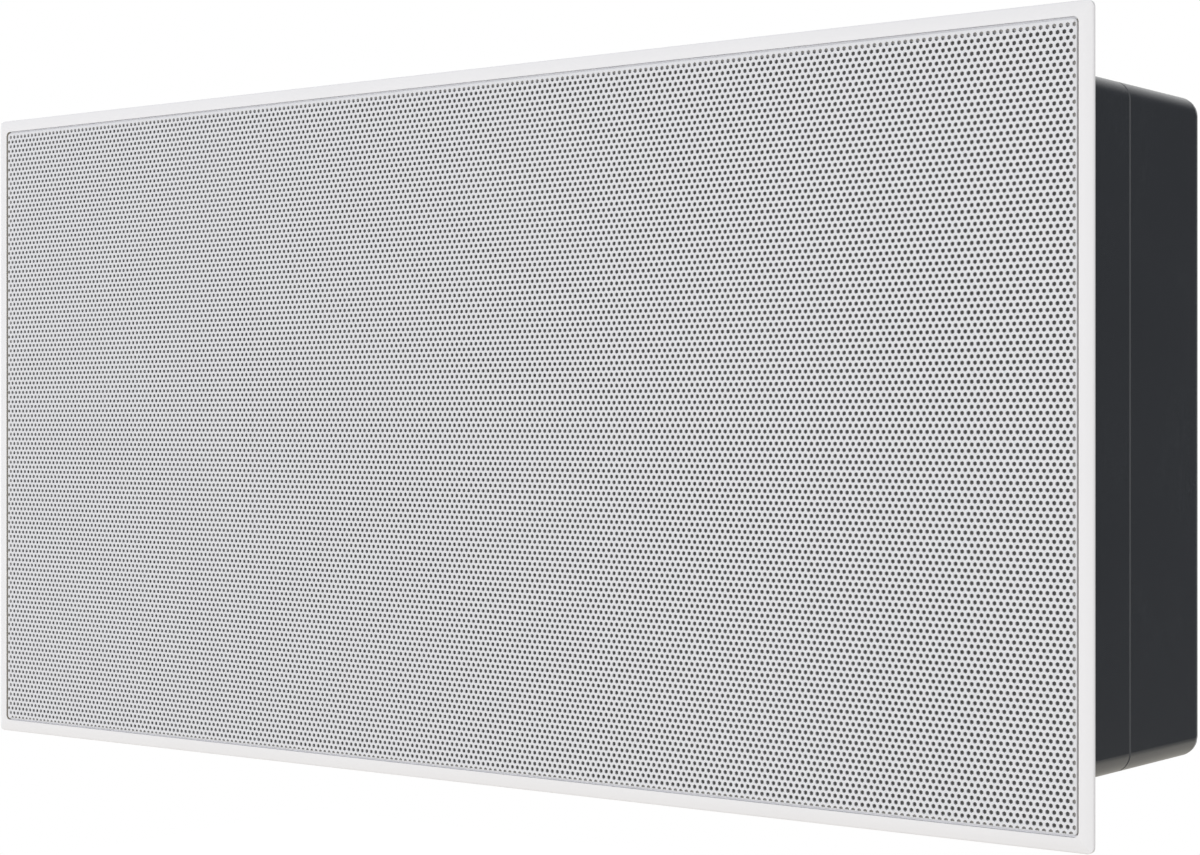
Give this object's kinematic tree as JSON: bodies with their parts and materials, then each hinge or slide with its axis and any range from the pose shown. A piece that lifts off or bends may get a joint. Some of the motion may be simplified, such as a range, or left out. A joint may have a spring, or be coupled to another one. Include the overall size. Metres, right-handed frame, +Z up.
{
  "type": "in wall speaker",
  "caption": "Landscape in-wall loudspeaker: perforated grille in a thin trim frame, closed black back box, drivers behind the grille and swing-out wall clamps.",
  "frame": {"origin": "centre of the trim flange's back face, on the face of the wall", "axes": "+X along the long side to the right seen from the front, +Y into the wall, +Z up"},
  "size_m": [0.448, 0.1043, 0.228],
  "materials": {
    "white_plastic": "fine satin moulding",
    "white_steel": "matt powder coat",
    "scrim_cloth": "thin open weave",
    "black_plastic": "satin moulding",
    "black_rubber": "soft matt",
    "cone_plastic": "smooth matt",
    "cloth": "woven, resin treated",
    "dome_cloth": "coated cloth",
    "frame_metal": "black paint",
    "steel": "zinc plated",
    "ferrite": "ground",
    "disc_magnet": "nickel plated",
    "copper": "enamelled wire",
    "brass": "turned",
    "leg_plastic": "glass filled",
    "board": "solder mask",
    "capacitor": "sleeve",
    "resistor": "cement",
    "red_plastic": "moulded",
    "damping": "polyester wadding"
  },
  "bodies": {
    "enclosure": {"trim_flange": "white_plastic", "grille_magnets": "disc_magnet", "front_chassis": "black_plastic", "seam_gasket": "black_rubber", "rear_cover": "black_plastic", "cover_screws": "steel", "woofer_screws": "steel", "tweeter_faceplate": "black_plastic", "tweeter_dome": "dome_cloth", "tweeter_coil": "copper", "tweeter_plate": "steel", "tweeter_magnet": "ferrite", "tweeter_yoke": "steel", "tweeter_chamber": "black_plastic", "tweeter_screws": "steel", "terminal_cup": "black_plastic", "terminal_contacts": "steel", "terminal_screws": "steel", "crossover_board": "board", "crossover_inductors": "copper", "crossover_capacitors": "capacitor", "crossover_resistors": "resistor", "crossover_screws": "steel", "damping_pads": "damping", "woofer_left_basket": "frame_metal", "woofer_left_surround": "black_rubber", "woofer_left_spider": "cloth", "woofer_left_top_plate": "steel", "woofer_left_magnet": "ferrite", "woofer_left_yoke": "steel", "woofer_right_basket": "frame_metal", "woofer_right_surround": "black_rubber", "woofer_right_spider": "cloth", "woofer_right_top_plate": "steel", "woofer_right_magnet": "ferrite", "woofer_right_yoke": "steel"},
    "grille": {"grille": "white_steel", "grille_scrim": "scrim_cloth"},
    "woofer_left_moving": {"woofer_left_cone": "cone_plastic", "woofer_left_dust_cap": "cone_plastic", "woofer_left_voice_coil": "copper"},
    "woofer_right_moving": {"woofer_right_cone": "cone_plastic", "woofer_right_dust_cap": "cone_plastic", "woofer_right_voice_coil": "copper"},
    "clamp_top_left_screw": {"clamp_top_left_screw": "steel"},
    "clamp_top_left_bush": {"clamp_top_left_bush": "brass"},
    "clamp_top_left_leg": {"clamp_top_left_leg": "leg_plastic"},
    "clamp_top_right_screw": {"clamp_top_right_screw": "steel"},
    "clamp_top_right_bush": {"clamp_top_right_bush": "brass"},
    "clamp_top_right_leg": {"clamp_top_right_leg": "leg_plastic"},
    "clamp_bottom_left_screw": {"clamp_bottom_left_screw": "steel"},
    "clamp_bottom_left_bush": {"clamp_bottom_left_bush": "brass"},
    "clamp_bottom_left_leg": {"clamp_bottom_left_leg": "leg_plastic"},
    "clamp_bottom_right_screw": {"clamp_bottom_right_screw": "steel"},
    "clamp_bottom_right_bush": {"clamp_bottom_right_bush": "brass"},
    "clamp_bottom_right_leg": {"clamp_bottom_right_leg": "leg_plastic"},
    "terminal_button_red": {"terminal_button_red": "red_plastic"},
    "terminal_button_black": {"terminal_button_black": "black_plastic"}
  },
  "joints": [
    {"name": "grille_pull", "type": "slide", "parent": "enclosure", "child": "grille", "axis": [0, -1, 0], "range_m": [0, 0.06]},
    {"name": "woofer_left_travel", "type": "slide", "parent": "enclosure", "child": "woofer_left_moving", "axis": [0, -1, 0], "range_m": [-0.004, 0.004], "stiffness_N_per_m": 1200, "deforming": ["woofer_left_surround", "woofer_left_spider"]},
    {"name": "woofer_right_travel", "type": "slide", "parent": "enclosure", "child": "woofer_right_moving", "axis": [0, -1, 0], "range_m": [-0.004, 0.004], "stiffness_N_per_m": 1200, "deforming": ["woofer_right_surround", "woofer_right_spider"]},
    {"name": "clamp_top_left_turn", "type": "hinge", "parent": "enclosure", "child": "clamp_top_left_screw", "pos_m": [-0.15, 0, 0.092], "axis": [0, 1, 0], "range_deg": [0, 5760]},
    {"name": "clamp_top_left_draw", "type": "slide", "parent": "enclosure", "child": "clamp_top_left_bush", "axis": [0, -1, 0], "range_m": [0, 0.0256]},
    {"name": "clamp_top_left_swing", "type": "hinge", "parent": "clamp_top_left_bush", "child": "clamp_top_left_leg", "pos_m": [-0.15, 0, 0.092], "axis": [0, -1, 0], "range_deg": [0, 90]},
    {"name": "clamp_top_right_turn", "type": "hinge", "parent": "enclosure", "child": "clamp_top_right_screw", "pos_m": [0.15, 0, 0.092], "axis": [0, 1, 0], "range_deg": [0, 5760]},
    {"name": "clamp_top_right_draw", "type": "slide", "parent": "enclosure", "child": "clamp_top_right_bush", "axis": [0, -1, 0], "range_m": [0, 0.0256]},
    {"name": "clamp_top_right_swing", "type": "hinge", "parent": "clamp_top_right_bush", "child": "clamp_top_right_leg", "pos_m": [0.15, 0, 0.092], "axis": [0, 1, 0], "range_deg": [0, 90]},
    {"name": "clamp_bottom_left_turn", "type": "hinge", "parent": "enclosure", "child": "clamp_bottom_left_screw", "pos_m": [-0.15, 0, -0.092], "axis": [0, 1, 0], "range_deg": [0, 5760]},
    {"name": "clamp_bottom_left_draw", "type": "slide", "parent": "enclosure", "child": "clamp_bottom_left_bush", "axis": [0, -1, 0], "range_m": [0, 0.0256]},
    {"name": "clamp_bottom_left_swing", "type": "hinge", "parent": "clamp_bottom_left_bush", "child": "clamp_bottom_left_leg", "pos_m": [-0.15, 0, -0.092], "axis": [0, 1, 0], "range_deg": [0, 90]},
    {"name": "clamp_bottom_right_turn", "type": "hinge", "parent": "enclosure", "child": "clamp_bottom_right_screw", "pos_m": [0.15, 0, -0.092], "axis": [0, 1, 0], "range_deg": [0, 5760]},
    {"name": "clamp_bottom_right_draw", "type": "slide", "parent": "enclosure", "child": "clamp_bottom_right_bush", "axis": [0, -1, 0], "range_m": [0, 0.0256]},
    {"name": "clamp_bottom_right_swing", "type": "hinge", "parent": "clamp_bottom_right_bush", "child": "clamp_bottom_right_leg", "pos_m": [0.15, 0, -0.092], "axis": [0, -1, 0], "range_deg": [0, 90]},
    {"name": "terminal_red_press", "type": "slide", "parent": "enclosure", "child": "terminal_button_red", "axis": [0, -1, 0], "range_m": [0, 0.003], "stiffness_N_per_m": 400},
    {"name": "terminal_black_press", "type": "slide", "parent": "enclosure", "child": "terminal_button_black", "axis": [0, -1, 0], "range_m": [0, 0.003], "stiffness_N_per_m": 400}
  ],
  "couplings": [
    {"joint": "clamp_top_left_turn", "follows": "clamp_top_left_draw", "rad_per_m": 3927},
    {"joint": "clamp_top_right_turn", "follows": "clamp_top_right_draw", "rad_per_m": 3927},
    {"joint": "clamp_bottom_left_turn", "follows": "clamp_bottom_left_draw", "rad_per_m": 3927},
    {"joint": "clamp_bottom_right_turn", "follows": "clamp_bottom_right_draw", "rad_per_m": 3927}
  ]
}
